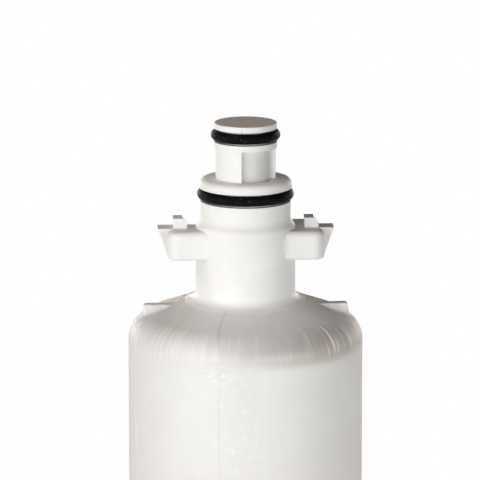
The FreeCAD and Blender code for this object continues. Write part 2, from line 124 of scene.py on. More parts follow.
# Painted shade on the film over the shoulder's rounded edge, heaviest on the right and at the back: bearing,
# reach, share
EDGE_SHADE_BASE = 0.04
EDGE_SHADE_SPOTS = ((38, 64, 0.64), (-150, 55, 0.30))

# Lay-flat crease, overlap seam and side crease of the film, as bearings from the front towards +X
CREASE_TOP = math.radians(-21)
CREASE_WALL = math.radians(-15.5)
CREASE_WIDTH = math.radians(0.55)
CREASE_HEIGHT = 0.06 * MM
CREASE_POWER = 1.2
CREASE_WALL_HEIGHT = 0.45
CREASE_WALL_SHADE = 0.3
SEAM_END = math.radians(5.5)
SEAM_EDGE = math.radians(0.5)
SEAM_STEP = 0.035 * MM
SIDE_CREASE = math.radians(-71)
SIDE_CREASE_WIDTH = math.radians(0.8)
SIDE_CREASE_HEIGHT = 0.05 * MM
FOLD_REACH = 0.8 / 360

# Crinkled overlap between crease and seam, as a noise, its levels and how softly it starts and ends
CRINKLE = (420.0, 4.0, 0.6)
CRINKLE_LEVELS = (0.50, 0.75)
CRINKLE_START = 0.002
CRINKLE_END = 0.02

# Crumpled patch where the crease turns over the shoulder's edge
CRUMPLE_BEARING = math.radians(-17)
CRUMPLE_REACH = 12 / 360
CRUMPLE_RUN = 4 * MM
CRUMPLE = (330.0, 3.0, 0.6)
CRUMPLE_LEVELS = (0.45, 0.75)
CRUMPLE_STRETCH = 2.2

# Look of the film: colours, sheen, haze of its features, and painted shade in its furrows and folds, over its
# rounded edge and along its outline
FILM_HAZE = (0.93, 0.93, 0.925, 1)
FILM_CLEAR = (0.985, 0.982, 0.978, 1)
FILM_SHADE_TONE = (0.50, 0.455, 0.405, 1)
FILM_ROUGHNESS = 0.42
FILM_SHEEN = 0.06
FILM_EDGE_SHEEN = 0.20
FILM_SHEEN_POWER = 5.0
# Painted shade along the film's outline where it is seen edge-on, and the power of its rise
FILM_OUTLINE_SHADE = 0.75
FILM_OUTLINE_SHADE_POWER = 6.0
FILM_FACING = 0.5
FILM_DRAWN = (330.0, 2.0)
FILM_DRAWN_STRETCH = 0.03
FILM_DRAWN_HEIGHT = (0.04 * MM, 0.4)
FILM_EDGE_RUN = 5 * MM
FILM_EDGE_SHARE = 0.2
MIST = (60.0, 3.0)
MIST_SHARE = (0.32, 0.35)
RIDGE_MIST = 0.8
SIDE_MIST = 0.2
CRINKLE_MIST = 0.05
CRUMPLE_MIST = 0.3
TENT_MIST = 0.6
FURROW_SHADE = 0.26
FOLD_SHADE = 0.36
SHARE_LIMIT = 0.9

# Moulded white: two tones of each piece, its mottling, clouded gloss, grain and peel
HEAD_TONES = ((0.865, 0.865, 0.86, 1), (0.815, 0.812, 0.803, 1))
SUMP_TONES = ((0.865, 0.865, 0.86, 1), (0.84, 0.838, 0.83, 1))
CAP_TONES = ((0.80, 0.80, 0.79, 1), (0.76, 0.76, 0.745, 1))
MOTTLE = (90.0, 4.0)
CLOUD = (22.0, 2.0)
CLOUD_LEVELS = (0.25, 0.75)
GRAIN = (1600.0, 2.0)
GRAIN_HEIGHT = (0.02 * MM, 0.25)
PEEL = (260.0, 2.0)
PEEL_HEIGHT = (0.10 * MM, 0.16)
WHITE_ROUGHNESS = (0.40, 0.54)
WHITE_IOR = 1.49
WHITE_SPECULAR = 0.35

# Painted shade on the tip's top face, streaked like scuffs, as drops below the tip, a turn and a stretch
TIP_FACE_DROPS = (0.10 * MM, 0.02 * MM)
SCUFF_TURN = math.radians(35)
SCUFF_STRETCH = 0.12
SCUFF = (1500.0, 3.0)
SCUFF_LEVELS = (0.40, 0.70)
SCUFF_AND_SHADE_SHARE = (0.45, 0.70)
SCUFF_AND_SHADE_TONE = (0.66, 0.61, 0.56, 1)

# Painted shade in the recesses of the keyed post, as drops below the tip and a radius
RECESS_TOP = 6.6 * MM
RECESS_FOOT = 14.6 * MM
RECESS_RADIUS = 7.0 * MM
RECESS_EDGE = 0.2 * MM
RECESS_BLOTCHES = (420.0, 3.0)
RECESS_SHADE_SHARE = (0.60, 0.85)
RECESS_SHADE_TONE = (0.66, 0.65, 0.63, 1)

# Mark of the mould parting on the tip's rim, as a bearing from the front
PARTING_BEARING = math.radians(-9)
PARTING_WIDTH = 0.12 * MM
PARTING_BANDS = (0.6 * MM, 0.4 * MM)
PARTING_DROP = 0.9 * MM
PARTING_FRONT = -1.0 * MM
PARTING_HEIGHT = (-0.08 * MM, 0.6)
PARTING_SHARE = 0.6
PARTING_TONE = (0.30, 0.27, 0.24, 1)

# Rubber of the seal rings
RUBBER_TONES = ((0.0015, 0.0014, 0.0013, 1), (0.005, 0.0047, 0.0043, 1))
RUBBER_PITS = (950.0, 4.0, 0.65)
RUBBER_PITS_HEIGHT = (0.30 * MM, 0.9)
RUBBER_SMEAR = (240.0, 3.0)
RUBBER_DUST = (1300.0, 2.0)
RUBBER_DUST_LEVELS = (0.60, 0.70)
RUBBER_DUST_SHARE = 0.5
RUBBER_DUST_TONE = (0.07, 0.064, 0.057, 1)
RUBBER_ROUGHNESS = (0.36, 0.60)
RUBBER_IOR = 1.5
RUBBER_SPECULAR = 0.05

# Carbon and fleece of the filter element
CARBON_SCALE = 900.0
CARBON_TONES = ((0.008, 0.008, 0.009, 1), (0.035, 0.034, 0.033, 1))
CARBON_ROUGHNESS = (0.6, 0.95)
CARBON_HEIGHT = (0.4 * MM, 0.8)
FLEECE = (1400.0, 5.0, 0.7)
FLEECE_STRETCH = 0.2
FLEECE_TONES = ((0.70, 0.69, 0.66, 1), (0.84, 0.83, 0.81, 1))
FLEECE_LEVELS = (0.2, 0.8)
FLEECE_ROUGHNESS = (0.85, 1.0)
FLEECE_SHEEN = 0.2
FLEECE_HEIGHT = (0.3 * MM, 0.8)

# White floor and its contact shadow
FLOOR_REACH = 6.0
FLOOR_DROP = 0.0002
FLOOR_TONE = (0.80, 0.79, 0.77, 1)
CONTACT_REACH = 0.12
CONTACT_SAMPLES = 8
CONTACT_SHADE = 0.62

# Dark cards: one stands behind the part, the other is a flag to the right of the head
CARD_WEAVE = 30.0
CARD_TONES = ((0.05, 0.045, 0.04, 1), (0.07, 0.062, 0.055, 1))
SHADE_BACK = 2.4
SHADE_REACH = 1.3
SHADE_HEIGHT = 1.5
FLAG_SIDE = 0.10
FLAG_DEPTHS = (-0.08, 0.09)
FLAG_LEVELS = (0.20, 0.30)

# Lamps: name, bearing, elevation, distance, width, height, watts, colour
LAMP_AIM_LEVEL = 0.16
LAMPS = (
    ("key", -46, 5, 1.5, 1.8, 0.55, 12.3, (0.935, 0.972, 1.0)),
    ("fill", 31, 5, 1.7, 1.6, 0.55, 13.7, (0.94, 0.975, 1.0)),
    ("rear_left", -160, 4, 1.8, 1.2, 0.5, 9, (1.0, 0.97, 0.93)),
    ("rear_right", 150, 4, 1.8, 1.2, 0.5, 8, (1.0, 0.95, 0.89)),
    ("over", -66, 38, 1.6, 1.2, 0.7, 7.9, (1.0, 0.95, 0.89)),
)

# World: light from the horizon, the ceiling, and the height of the direction where one becomes the other
HORIZON_LIGHT = (0.42, 0.37, 0.315, 1)
CEILING_LIGHT = (0.055, 0.028, 0.012, 1)
CEILING_LEVELS = (0.15, 0.45)

# Camera at the photograph's angle
CAMERA_BEARING = math.radians(-2.5)
CAMERA_ELEVATION = math.radians(12)
CAMERA_DISTANCE = 1200 * MM
CAMERA_OFFSET = -1.43 * MM
CAMERA_AIM_LEVEL = 200.7 * MM
CAMERA_CLIP = (0.01, 100.0)
FRAME_WIDTH = 125.1 * MM
SENSOR_WIDTH = 36.0


# Node helpers


def new_tree(name):
    """A material with an empty node tree, and that tree."""
    material = bpy.data.materials.new(name)
    material.use_nodes = True
    material.node_tree.nodes.clear()
    return material, material.node_tree


def add(tree, kind, inputs=None, **settings):
    """One node: settings are its own properties, inputs are numbers, colours or other nodes' sockets."""
    node = tree.nodes.new(kind)
    for name, setting in settings.items():
        setattr(node, name, setting)
    for socket, given in (inputs or {}).items():
        if isinstance(given, bpy.types.NodeSocket):
            tree.links.new(given, node.inputs[socket])
        else:
            node.inputs[socket].default_value = given
    return node


def math_node(tree, operation, first, second=0.0, third=0.0):
    """Result of one sum on numbers or sockets."""
    return add(tree, "ShaderNodeMath", {0: first, 1: second, 2: third}, operation=operation).outputs[0]


def product(tree, *factors):
    """All factors multiplied."""
    whole = factors[0]
    for factor in factors[1:]:
        whole = math_node(tree, "MULTIPLY", whole, factor)
    return whole


def ramp(tree, factor, low, high, out_low=0.0, out_high=1.0):
    """Smooth step of a value between two levels."""
    node = add(tree, "ShaderNodeMapRange", {
        "Value": factor, "From Min": low, "From Max": high, "To Min": out_low, "To Max": out_high,
    }, interpolation_type="SMOOTHSTEP")
    return node.outputs["Result"]


def band(tree, given, centre, reach):
    """One at the centre, fading to nothing at the reach to both sides."""
    gap = math_node(tree, "ABSOLUTE", math_node(tree, "SUBTRACT", given, centre))
    return ramp(tree, gap, reach, 0.0)


def blend_colour(tree, factor, first, second):
    """First colour where the factor is zero, second where it is one."""
    node = add(tree, "ShaderNodeMix", {0: factor, 6: first, 7: second}, data_type="RGBA")
    return node.outputs[2]


def blend_shader(tree, factor, first, second):
    """First shader where the factor is zero, second where it is one."""
    return add(tree, "ShaderNodeMixShader", {0: factor, 1: first.outputs[0], 2: second.outputs[0]})


def noise(tree, place, scale, detail=3.0, roughness=0.5):
    """Noise in a place, its scale in waves to a metre."""
    node = add(tree, "ShaderNodeTexNoise", {
        "Vector": place, "Scale": scale, "Detail": detail, "Roughness": roughness,
    })
    return node.outputs["Fac"]


def object_place(tree):
    """Place in the piece's own axes."""
    return add(tree, "ShaderNodeTexCoord").outputs["Object"]


def scaled(tree, place, scale, turn=0.0):
    """A place scaled along its axes and turned about its third one."""
    node = add(tree, "ShaderNodeMapping", {"Vector": place, "Rotation": (0.0, 0.0, turn), "Scale": scale})
    return node.outputs[0]


def bump(tree, height, distance, strength=1.0, normal=None):
    """Normal of a surface with fine relief, on top of the relief given."""
    inputs = {"Height": height, "Distance": distance, "Strength": strength}
    if normal is not None:
        inputs["Normal"] = normal
    return add(tree, "ShaderNodeBump", inputs).outputs["Normal"]


def seen_directly(tree):
    """One for rays that see a surface, in a reflection or through the film too, zero for rays that light."""
    path = add(tree, "ShaderNodeLightPath").outputs
    seen = math_node(tree, "MAXIMUM", path["Is Camera Ray"], path["Is Glossy Ray"])
    return math_node(tree, "MAXIMUM", seen, path["Is Transmission Ray"])


def surface(tree, shader):
    """Make a shader the material's surface."""
    add(tree, "ShaderNodeOutputMaterial", {"Surface": shader.outputs[0]})


def principled(tree, inputs):
    """Make a principled shader the material's surface."""
    surface(tree, add(tree, "ShaderNodeBsdfPrincipled", inputs))


# Materials of the housing, the seals and the filter element


def scuffs_and_top_shade(tree, place, drop):
    """Painted shade on the tip's top face, streaked like fine scratches."""
    turned = scaled(tree, place, (1.0, SCUFF_STRETCH, 1.0), SCUFF_TURN)
    scratch = ramp(tree, noise(tree, turned, *SCUFF), *SCUFF_LEVELS, *SCUFF_AND_SHADE_SHARE)
    return product(tree, ramp(tree, drop, *TIP_FACE_DROPS), scratch)


def recess_shade(tree, place, radius, drop):
    """Blotchy painted shade in the recesses of the post."""
    blotches = ramp(tree, noise(tree, place, *RECESS_BLOTCHES), *MIDDLE, *RECESS_SHADE_SHARE)
    return product(tree, ramp(tree, radius, RECESS_RADIUS + RECESS_EDGE, RECESS_RADIUS),
                   ramp(tree, drop, RECESS_TOP - RECESS_EDGE, RECESS_TOP),
                   ramp(tree, drop, RECESS_FOOT + RECESS_EDGE, RECESS_FOOT), blotches)


def parting_line(tree, x, y, drop):
    """Short upright line at the front of the tip's rim."""
    across = product(tree, x, math.cos(PARTING_BEARING))
    along = product(tree, y, math.sin(PARTING_BEARING))
    offset = math_node(tree, "ABSOLUTE", math_node(tree, "ADD", across, along))
    rim = math_node(tree, "ABSOLUTE", math_node(tree, "SUBTRACT", drop, PARTING_DROP))
    return product(tree, ramp(tree, offset, PARTING_WIDTH, 0.0),
                   ramp(tree, rim, *PARTING_BANDS),
                   ramp(tree, y, 0.0, PARTING_FRONT))


def head_marks(tree, place, colour, normal):
    """Marks on the head: painted shade on the tip's top face, painted shade in the post's recesses, parting
    mark on the rim.
    """
    x, y, z = add(tree, "ShaderNodeSeparateXYZ", {0: place}).outputs
    drop = math_node(tree, "SUBTRACT", CAD_BOX[1].z, z)
    radius = math_node(tree, "SQRT", math_node(tree, "ADD", product(tree, x, x), product(tree, y, y)))
    # Painted shade on the tip's top face, streaked like scratches
    colour = blend_colour(tree, scuffs_and_top_shade(tree, place, drop), colour, SCUFF_AND_SHADE_TONE)
    # Painted shade in the recesses of the post
    colour = blend_colour(tree, recess_shade(tree, place, radius, drop), colour, RECESS_SHADE_TONE)
    line = parting_line(tree, x, y, drop)
    colour = blend_colour(tree, product(tree, line, PARTING_SHARE), colour, PARTING_TONE)
    return colour, bump(tree, line, *PARTING_HEIGHT, normal)


def moulded_white(name, tones, marked):
    """Satin white polypropylene: faint mottling, moulded grain and, on the head, its marks and painted shade.
    """
    material, tree = new_tree(name)
    place = object_place(tree)
    colour = blend_colour(tree, ramp(tree, noise(tree, place, *MOTTLE), *MIDDLE), *tones)
    normal = bump(tree, noise(tree, place, *GRAIN), *GRAIN_HEIGHT)
    normal = bump(tree, noise(tree, place, *PEEL), *PEEL_HEIGHT, normal)
    if marked:
        colour, normal = head_marks(tree, place, colour, normal)
    principled(tree, {
        "Base Color": colour,
        "Roughness": ramp(tree, noise(tree, place, *CLOUD), *CLOUD_LEVELS, *WHITE_ROUGHNESS),
        "IOR": WHITE_IOR,
        "Specular IOR Level": WHITE_SPECULAR,
        "Normal": normal,
    })
    return material


def black_rubber():
    """Greased nitrile rubber with fine pits and a little pale dust."""
    material, tree = new_tree("greased_black_rubber")
    place = object_place(tree)
    blotches = noise(tree, place, *RUBBER_SMEAR)
    dust = ramp(tree, noise(tree, place, *RUBBER_DUST), *RUBBER_DUST_LEVELS)
    colour = blend_colour(tree, blotches, *RUBBER_TONES)
    colour = blend_colour(tree, product(tree, dust, RUBBER_DUST_SHARE), colour, RUBBER_DUST_TONE)
    principled(tree, {
        "Base Color": colour,
        "Roughness": ramp(tree, blotches, *MIDDLE, *RUBBER_ROUGHNESS),
        "IOR": RUBBER_IOR,
        "Specular IOR Level": RUBBER_SPECULAR,
        "Normal": bump(tree, noise(tree, place, *RUBBER_PITS), *RUBBER_PITS_HEIGHT),
    })
    return material


def carbon():
    """Pressed activated carbon: near-black grains."""
    material, tree = new_tree("pressed_carbon")
    grains = add(tree, "ShaderNodeTexVoronoi", {"Vector": object_place(tree), "Scale": CARBON_SCALE})
    tone = add(tree, "ShaderNodeSeparateColor", {0: grains.outputs["Color"]}).outputs[0]
    principled(tree, {
        "Base Color": blend_colour(tree, tone, *CARBON_TONES),
        "Roughness": ramp(tree, tone, 0.0, 1.0, *CARBON_ROUGHNESS),
        "Normal": bump(tree, grains.outputs["Distance"], *CARBON_HEIGHT),
    })
    return material


def fleece():
    """Melt-blown white fleece with matted fibres."""
    material, tree = new_tree("white_fleece")
    stretch = scaled(tree, object_place(tree), (1.0, 1.0, FLEECE_STRETCH))
    fibres = noise(tree, stretch, *FLEECE)
    principled(tree, {
        "Base Color": blend_colour(tree, fibres, *FLEECE_TONES),
        "Roughness": ramp(tree, fibres, *FLEECE_LEVELS, *FLEECE_ROUGHNESS),
        "Sheen Weight": FLEECE_SHEEN,
        "Normal": bump(tree, fibres, *FLEECE_HEIGHT),
    })
    return material


# Material of the film


def film_chart(tree):
    """Place on the film: share of the turn, run down from the upper edge, and both as a place in metres."""
    chart = add(tree, "ShaderNodeUVMap", uv_map="film").outputs[0]
    around, down = add(tree, "ShaderNodeSeparateXYZ", {0: chart}).outputs[:2]
    return around, product(tree, down, FILM_RUN), scaled(tree, chart, (FILM_GIRTH, FILM_RUN, 1.0))


def film_strands(tree, around, run, flat):
    """Raised strands of the gathered film, and the furrows between them."""
    strands = scaled(tree, flat, (1.0, STRAND_STRETCH, 1.0))
    tight = TIGHT_BASE
    for bearing, pull in TIGHT_SPOTS:
        spot = band(tree, around, film_u(math.radians(bearing)), TIGHT_REACH)
        tight = math_node(tree, "MULTIPLY_ADD", spot, pull, tight)
    ends = noise(tree, strands, *STRAND_ENDS)
    shift = math_node(tree, "MULTIPLY_ADD", ends, STRAND_SHIFT, -STRAND_SHIFT / 2)
    uneven = math_node(tree, "ADD", run, shift)
    top = ramp(tree, uneven, *STRAND_TOP)
    foot = ramp(tree, uneven, *STRAND_FOOT)
    strand = ramp(tree, noise(tree, strands, *STRANDS), *STRAND_LEVELS)
    ridge = product(tree, strand, top, foot, tight)
    furrow = product(tree, math_node(tree, "SUBTRACT", 1.0, strand), top, foot, tight)
    return ridge, furrow


def film_edge_shade(tree, around, run):
    """Share of painted shade on the film over the rounded edge, heaviest on the right and at the back, and
    where that edge is.
    """
    rolled = product(tree, ramp(tree, run, *EDGE_TOP), ramp(tree, run, *EDGE_FOOT))
    edge_shade = EDGE_SHADE_BASE
    for bearing, reach, share in EDGE_SHADE_SPOTS:
        spot = band(tree, around, film_u(math.radians(bearing)), reach / 360)
        edge_shade = math_node(tree, "MULTIPLY_ADD", spot, share, edge_shade)
    return edge_shade, rolled


def film_tents(tree, around, run):
    """Film held off the shoulder on both sides of a rib."""
    left, right = [band(tree, around, film_u(bearing), TENT_REACH) for bearing in RIB_BEARINGS]
    return product(tree, math_node(tree, "ADD", left, right), ramp(tree, run, BEND_END, CONE_END))


def film_folds(tree, around, run, flat):
    """Lay-flat crease, side crease, crinkled overlap and crumpled patch."""
    below = ramp(tree, run, CONE_END, BEND_END)
    slide = ramp(tree, run, 0.0, BEND_END, film_u(CREASE_TOP), film_u(CREASE_WALL))
    fold = product(tree, band(tree, math_node(tree, "SUBTRACT", around, slide), 0.0, FOLD_REACH),
                   ramp(tree, run, CONE_END, BEND_END, 1.0, CREASE_WALL_SHADE))
    side = product(tree, band(tree, around, film_u(SIDE_CREASE), FOLD_REACH), below)
    first, last = film_u(CREASE_WALL), film_u(SEAM_END)
    crinkle = product(tree, ramp(tree, noise(tree, flat, *CRINKLE), *CRINKLE_LEVELS),
                      ramp(tree, around, first - CRINKLE_START, first + CRINKLE_START),
                      ramp(tree, around, last + CRINKLE_END, last - CRINKLE_END), below)
    streaks = scaled(tree, flat, (1.0, CRUMPLE_STRETCH, 1.0))
    crumple = product(tree, ramp(tree, noise(tree, streaks, *CRUMPLE), *CRUMPLE_LEVELS),
                      band(tree, around, film_u(CRUMPLE_BEARING), CRUMPLE_REACH),
                      band(tree, run, CRUMPLE_LEVEL, CRUMPLE_RUN))
    return fold, side, crinkle, crumple


def clear_film():
    """Clear shrink film with a soft sheen, hazier in its gathers, folds, overlap and crumpled patch, with
    painted shade in its furrows, crease, rounded edge and outline.
    """
    material, tree = new_tree("clear_shrink_film")
    around, run, flat = film_chart(tree)
    ridge, furrow = film_strands(tree, around, run, flat)
    edge_shade, rolled = film_edge_shade(tree, around, run)
    tent = film_tents(tree, around, run)
    fold, side, crinkle, crumple = film_folds(tree, around, run, flat)

    drawn = scaled(tree, flat, (1.0, FILM_DRAWN_STRETCH, 1.0))
    normal = bump(tree, noise(tree, drawn, *FILM_DRAWN), *FILM_DRAWN_HEIGHT)
    normal = bump(tree, ridge, *STRAND_HEIGHT, normal)
    haze = add(tree, "ShaderNodeBsdfDiffuse", {"Color": FILM_HAZE, "Normal": normal})
    clear = add(tree, "ShaderNodeBsdfTransparent", {"Color": FILM_CLEAR})
    painted_shade = add(tree, "ShaderNodeBsdfDiffuse", {"Color": FILM_SHADE_TONE, "Normal": normal})
    gloss = add(tree, "ShaderNodeBsdfGlossy", {"Color": WHITE, "Roughness": FILM_ROUGHNESS, "Normal": normal})
    facing = add(tree, "ShaderNodeLayerWeight", {"Blend": FILM_FACING, "Normal": normal}).outputs["Facing"]

    mist = ramp(tree, noise(tree, flat, *MIST), *MIDDLE, *MIST_SHARE)
    for mask, weight in ((ridge, RIDGE_MIST), (side, SIDE_MIST), (crinkle, CRINKLE_MIST),
                         (crumple, CRUMPLE_MIST), (tent, TENT_MIST)):
        mist = math_node(tree, "MULTIPLY_ADD", mask, weight, mist)
    mist = math_node(tree, "MINIMUM", mist, SHARE_LIMIT)

    # Painted shade in the furrows between strands and along the crease
    shade = math_node(tree, "MULTIPLY_ADD", furrow, FURROW_SHADE, product(tree, fold, FOLD_SHADE))
    # Painted shade on the film over the rounded edge
    shade = math_node(tree, "MULTIPLY_ADD", edge_shade, rolled, shade)
    crest = math_node(tree, "MINIMUM", ridge, SHARE_LIMIT)
    shade = product(tree, shade, math_node(tree, "SUBTRACT", 1.0, crest))
    # Painted shade along the film's outline, where it is seen edge-on
    edge = math_node(tree, "POWER", facing, FILM_OUTLINE_SHADE_POWER)
    shade = math_node(tree, "MULTIPLY_ADD", edge, FILM_OUTLINE_SHADE, shade)
    shade = math_node(tree, "MINIMUM", shade, SHARE_LIMIT)

    grazing = math_node(tree, "POWER", facing, FILM_SHEEN_POWER)
    sheen = math_node(tree, "MULTIPLY_ADD", grazing, FILM_EDGE_SHEEN - FILM_SHEEN, FILM_SHEEN)
    cling = ramp(tree, run, 0.0, FILM_EDGE_RUN, FILM_EDGE_SHARE, 1.0)

    layer = blend_shader(tree, mist, clear, haze)
    # The warm dark diffuse carries all the painted shade of the film
    layer = blend_shader(tree, shade, layer, painted_shade)
    surface(tree, blend_shader(tree, product(tree, sheen, cling), layer, gloss))
    return material


# Film


def bearing_gap(angles, centre):
    """Signed angle from a bearing, the short way round."""
    return (angles - centre + math.pi) % (2 * math.pi) - math.pi


def film_u(bearing):
    """Place of a bearing across the film's chart, the back of the part at 0 and 1."""
    return bearing / (2 * math.pi) + 0.5


def film_section():
    """Section of the housing under the film from the cone to the foot: radius, height, normal and run."""
    low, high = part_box("shrink_film")
    sump_low, sump_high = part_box("housing_sump")
    house_r = (sump_high.x - sump_low.x) / 2
    seam = sump_high.z
    bend_r = house_r - SHOULDER_RADIUS
    cone_foot = Vector((bend_r + SHOULDER_RADIUS * math.sin(SHOULDER_TILT),
                        seam + SHOULDER_RADIUS * math.cos(SHOULDER_TILT)))
    cone_top_z = high.z - FILM_LIFT
    cone_run = (cone_top_z - cone_foot.y) / math.sin(SHOULDER_TILT)
    cone_normal = (math.sin(SHOULDER_TILT), math.cos(SHOULDER_TILT))
    points = []
    for share in np.linspace(1, 0, CONE_ROWS, endpoint=False):
        points.append((cone_foot.x - share * cone_run * math.cos(SHOULDER_TILT),
                       cone_foot.y + share * cone_run * math.sin(SHOULDER_TILT), *cone_normal))
    for angle in np.linspace(math.pi / 2 - SHOULDER_TILT, 0, BEND_ROWS, endpoint=False):
        lift = (math.cos(angle), math.sin(angle))
        points.append((bend_r + SHOULDER_RADIUS * lift[0], seam + SHOULDER_RADIUS * lift[1], *lift))
    for height in np.linspace(seam, seam - UPPER_WALL_RUN, UPPER_WALL_ROWS, endpoint=False):
        points.append((house_r, height, 1.0, 0.0))
    for height in np.linspace(seam - UPPER_WALL_RUN, low.z, LOWER_WALL_ROWS):
        points.append((house_r, height, 1.0, 0.0))
    table = np.array(points)
    steps = np.hypot(np.diff(table[:, 0]), np.diff(table[:, 1]))
    run = np.concatenate(([0.0], np.cumsum(steps)))
    return table, run


SECTION, SECTION_RUN = film_section()
FILM_RUN = float(SECTION_RUN[-1])
FILM_GIRTH = 2 * math.pi * float(SECTION[-1, 0])
CONE_END = float(SECTION_RUN[CONE_ROWS])
BEND_END = float(SECTION_RUN[CONE_ROWS + BEND_ROWS])

# Runs where strands, the painted shade on the rounded edge and the crumpled patch start and end
STRAND_TOP = (0.75 * CONE_END, CONE_END + 2 * MM)
STRAND_FOOT = (BEND_END + 1 * MM, BEND_END - 3 * MM)
EDGE_TOP = (CONE_END - 1 * MM, BEND_END - 3 * MM)
EDGE_FOOT = (BEND_END + 2.5 * MM, BEND_END - 1.5 * MM)
CRUMPLE_LEVEL = BEND_END + 0.6 * CRUMPLE_RUN


def housing_tree():
    """Ray target made of the two housing halves."""
    corners, faces = [], []
    for name in ("housing_head", "housing_sump"):
        mesh = NODES[name].data
        world = NODES[name].matrix_world
        first = len(corners)
        corners += [world @ vertex.co for vertex in mesh.vertices]
        faces += [[first + index for index in polygon.vertices] for polygon in mesh.polygons]
    return BVHTree.FromPolygons(corners, faces)


def drape(angles):
    """How far the housing stands out of the plain section, as the film feels it: ribs become soft tents."""
    tree = housing_tree()
    rise = np.zeros((len(SECTION), len(angles)))
    for row in range(CONE_ROWS + BEND_ROWS):
        radius, height, out, up = SECTION[row]
        for column, angle in enumerate(angles):
            aim = Vector((out * math.sin(angle), -out * math.cos(angle), up))
            foot = Vector((radius * math.sin(angle), -radius * math.cos(angle), height))
            hit = tree.ray_cast(foot + aim * PROBE_REACH, -aim, 2 * PROBE_REACH)
            if hit[0] is not None:
                rise[row, column] = max(0.0, PROBE_REACH - hit[3])
    solid = rise.copy()
    for shift in range(1, TENT_COLUMNS):
        slope = 1 - shift / TENT_COLUMNS
        beside = np.maximum(np.roll(solid, shift, axis=1), np.roll(solid, -shift, axis=1))
        rise = np.maximum(rise, slope * beside)
    for _ in range(SMOOTH_PASSES):
        sides = (np.roll(rise, 1, axis=1) + np.roll(rise, -1, axis=1)) / 2
        ends = rise.copy()
        ends[1:-1] = (rise[:-2] + rise[2:]) / 2
        rise = np.maximum(solid, SMOOTH_AROUND * sides + SMOOTH_DOWN * ends)
    return rise


def eased(distance, length):
    """Smooth rise from zero to one over a length."""
    share = np.clip(distance / length, 0, 1)
    return share * share * (3 - 2 * share)


def gathers(angles, dice):
    """Sharp uneven ridges that run down the shoulder and die out below its edge."""
    run = SECTION_RUN[:, None]
    least, most = GATHER_HEIGHT
    total = np.zeros((len(SECTION_RUN), len(angles)))
    for index in range(GATHER_COUNT):
        place = index + dice.uniform(-GATHER_JITTER, GATHER_JITTER)
        centre = place * 2 * math.pi / GATHER_COUNT - math.pi
        sideways = abs(math.sin(centre)) ** 2
        tall = dice.random() ** GATHER_HEIGHT_POWER
        height = least + (most - least) * tall * (GATHER_FRONT_SHARE + (1 - GATHER_FRONT_SHARE) * sideways)
        width = dice.uniform(*GATHER_WIDTH)
        slant = math.radians(dice.uniform(-GATHER_SLANT, GATHER_SLANT)) / CONE_END
        begin = dice.uniform(*GATHER_BEGIN) * CONE_END
        tail = (dice.random() ** GATHER_TAIL_POWER) * GATHER_TAIL
        finish = BEND_END + tail - dice.uniform(0.0, GATHER_CUT) * MM
        envelope = eased(run - begin, GATHER_RISE) * eased(finish - run, GATHER_FALL)
        gap = bearing_gap(angles[None, :], centre + slant * (run - CONE_END))
        lean = np.where(gap > 0, *GATHER_LEAN)
        crest = np.clip(1 - (gap / (width * lean)) ** 2, 0, 1) ** 2
        total = np.maximum(total, height * envelope * crest)
    return total


def crease(angles):
    """Lay-flat fold that slants down the shoulder and runs on down the wall, with its overlap beside it."""
    run = SECTION_RUN[:, None]
    slide = np.clip(run / BEND_END, 0, 1)
    line = CREASE_TOP + (CREASE_WALL - CREASE_TOP) * slide
    gap = bearing_gap(angles[None, :], line)
    fade = np.where(run < BEND_END, 1.0, CREASE_WALL_HEIGHT)
    ridge = CREASE_HEIGHT * fade * np.clip(1 - np.abs(gap) / CREASE_WIDTH, 0, 1) ** CREASE_POWER
    width = SEAM_END - line
    inside = np.clip(gap / SEAM_EDGE, 0, 1) * np.clip((width - gap) / SEAM_EDGE, 0, 1)
    side = bearing_gap(angles[None, :], SIDE_CREASE)
    second = SIDE_CREASE_HEIGHT * np.clip(1 - np.abs(side) / SIDE_CREASE_WIDTH, 0, 1) * (run > CONE_END)
    return ridge + SEAM_STEP * inside + second


def chart_film(mesh, rows, columns):
    """Lay out the film's chart: across is the share of the turn, down is the share of the run."""
    chart = mesh.uv_layers.new(name="film")
    across = np.arange(columns) / columns
    down = SECTION_RUN / FILM_RUN
    cells = (rows - 1, columns)
    left_u = np.broadcast_to(across[None, :], cells)
    right_u = np.broadcast_to((across + 1 / columns)[None, :], cells)
    top_v = np.broadcast_to(down[:-1, None], cells)
    low_v = np.broadcast_to(down[1:, None], cells)
    places = np.stack((left_u, top_v, left_u, low_v, right_u, low_v, right_u, top_v), axis=2)
    chart.data.foreach_set("uv", places.ravel())


def film_sheet():
    """The film as one thin sheet draped on the housing."""
    dice = random.Random(FILM_SEED)
    angles = np.linspace(-math.pi, math.pi, FILM_COLUMNS, endpoint=False)
    rise = drape(angles) + np.maximum(gathers(angles, dice), crease(angles)) + FILM_LIFT
    few, many = HEM_COUNTS
    wave = HEM_WAVE * (1 + np.sin(few * angles + HEM_PHASE) * np.sin(many * angles))
    rise[0] += wave
    rise[1] += HEM_SECOND_ROW * wave
    radius = SECTION[:, 0:1] + rise * SECTION[:, 2:3]
    height = SECTION[:, 1:2] + rise * SECTION[:, 3:4]
    sweep = np.broadcast_to(angles[None, :], radius.shape)
    corners = np.stack((radius * np.sin(sweep), -radius * np.cos(sweep), height), axis=2).reshape(-1, 3)
    rows, columns = radius.shape
    here = np.arange(rows * columns).reshape(rows, columns)
    right = np.roll(here, -1, axis=1)
    faces = np.stack((here[:-1], here[1:], right[1:], right[:-1]), axis=2).reshape(-1, 4)
    mesh = bpy.data.meshes.new("film_sheet")
    mesh.from_pydata(corners.tolist(), [], faces.tolist())
    chart_film(mesh, rows, columns)
    mesh.polygons.foreach_set("use_smooth", [True] * len(mesh.polygons))
    mesh.update()
    film = bpy.data.objects.new("film_sheet", mesh)
    bpy.context.collection.objects.link(film)
    return film


# Finish of the pieces


